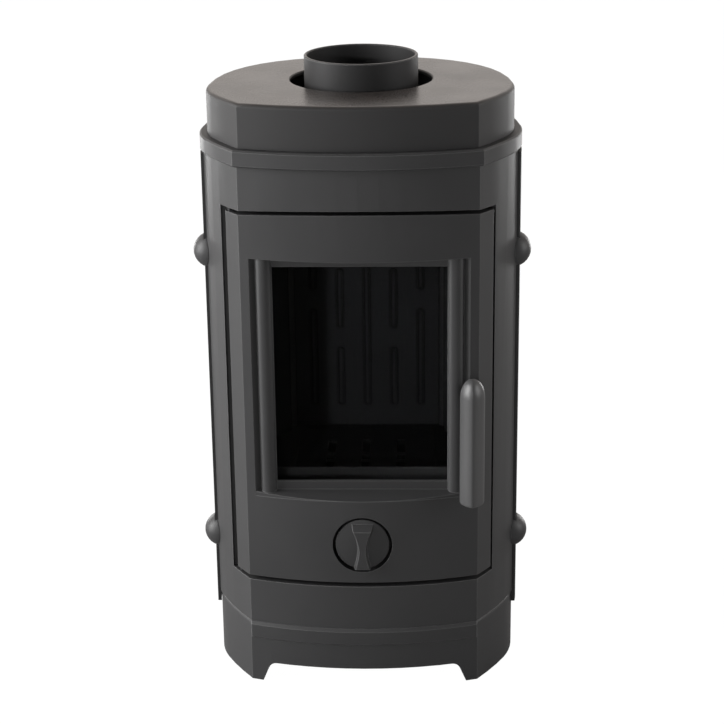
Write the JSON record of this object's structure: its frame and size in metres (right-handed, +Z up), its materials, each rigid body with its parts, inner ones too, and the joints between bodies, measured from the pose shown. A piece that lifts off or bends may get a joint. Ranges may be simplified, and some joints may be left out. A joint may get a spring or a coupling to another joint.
{
  "type": "potbelly stove",
  "caption": "Upright cast-iron room stove with a bowed front, round back, glazed hinged door, air control, ash pan, domed seam caps and a top flue spigot.",
  "frame": {"origin": "centre of the footprint, on the floor", "axes": "+Z up, the door faces -Y, +X to the right of a viewer facing the door"},
  "size_m": [0.4482, 0.3688, 0.8312],
  "materials": {
    "body_iron": "charcoal stove paint over fine-grained casting, satin",
    "door_iron": "charcoal stove paint, satin",
    "cover_iron": "warm grey-brown stove paint, satin",
    "flue_iron": "dark charcoal stove paint, satin",
    "handle_iron": "charcoal paint, slightly glossier than the body",
    "inner_iron": "matt, sooty",
    "lining_iron": "matt grey, heat-dulled",
    "fastener_steel": "plain steel, dulled",
    "door_glass": "clear ceramic glass, faintly grey",
    "seal_rope": "woven glass-fibre rope and tape, off-white"
  },
  "bodies": {
    "stove": {"base_plinth": "body_iron", "front_casting": "body_iron", "right_side_casting": "body_iron", "left_side_casting": "body_iron", "rear_casting": "body_iron", "body_top_plate": "body_iron", "dome_cap_upper_right": "body_iron", "dome_cap_upper_left": "body_iron", "dome_cap_lower_right": "body_iron", "dome_cap_lower_left": "body_iron", "top_cover": "cover_iron", "flue_collar": "flue_iron", "ash_box": "inner_iron", "hearth_floor": "inner_iron", "fire_grate": "inner_iron", "log_guard": "inner_iron", "baffle_plate": "inner_iron", "rear_hearth_plate": "lining_iron", "right_hearth_plate": "lining_iron", "left_hearth_plate": "lining_iron", "flue_bolt_1": "fastener_steel", "flue_bolt_2": "fastener_steel", "flue_bolt_3": "fastener_steel", "rear_bolt_1_right": "fastener_steel", "rear_bolt_1_left": "fastener_steel", "rear_bolt_2_right": "fastener_steel", "rear_bolt_2_left": "fastener_steel", "dome_nut_upper_right": "fastener_steel", "dome_nut_upper_left": "fastener_steel", "dome_nut_lower_right": "fastener_steel", "dome_nut_lower_left": "fastener_steel", "hinge_pin_upper": "fastener_steel", "hinge_pin_lower": "fastener_steel", "strike_plate": "fastener_steel"},
    "door": {"door_casting": "door_iron", "door_glass": "door_glass", "glass_gasket": "seal_rope", "glass_clip_right": "fastener_steel", "glass_clip_left": "fastener_steel", "clip_screw_1": "fastener_steel", "clip_screw_2": "fastener_steel", "clip_screw_3": "fastener_steel", "clip_screw_4": "fastener_steel", "door_rope": "seal_rope"},
    "handle": {"handle_bar": "handle_iron", "handle_spindle": "fastener_steel", "latch_cam": "fastener_steel", "latch_nut": "fastener_steel"},
    "air_control": {"air_knob": "door_iron", "air_spindle": "fastener_steel", "air_shutter": "inner_iron", "air_nut": "fastener_steel"},
    "ash_pan": {"ash_pan": "inner_iron"}
  },
  "joints": [
    {"name": "door_hinge", "type": "hinge", "parent": "stove", "child": "door", "pos_m": [-0.1655, -0.11608, 0.4105], "axis": [0, 0, -1], "range_deg": [0, 110]},
    {"name": "handle_turn", "type": "hinge", "parent": "door", "child": "handle", "pos_m": [0.1445, -0.15, 0.428], "axis": [0, -1, 0], "range_deg": [0, 60]},
    {"name": "air_control_turn", "type": "hinge", "parent": "door", "child": "air_control", "pos_m": [0, -0.16, 0.2115], "axis": [0, -1, 0], "range_deg": [0, 60]},
    {"name": "ash_pan_slide", "type": "slide", "parent": "stove", "child": "ash_pan", "axis": [0, -1, 0], "range_m": [0, 0.04]}
  ]
}
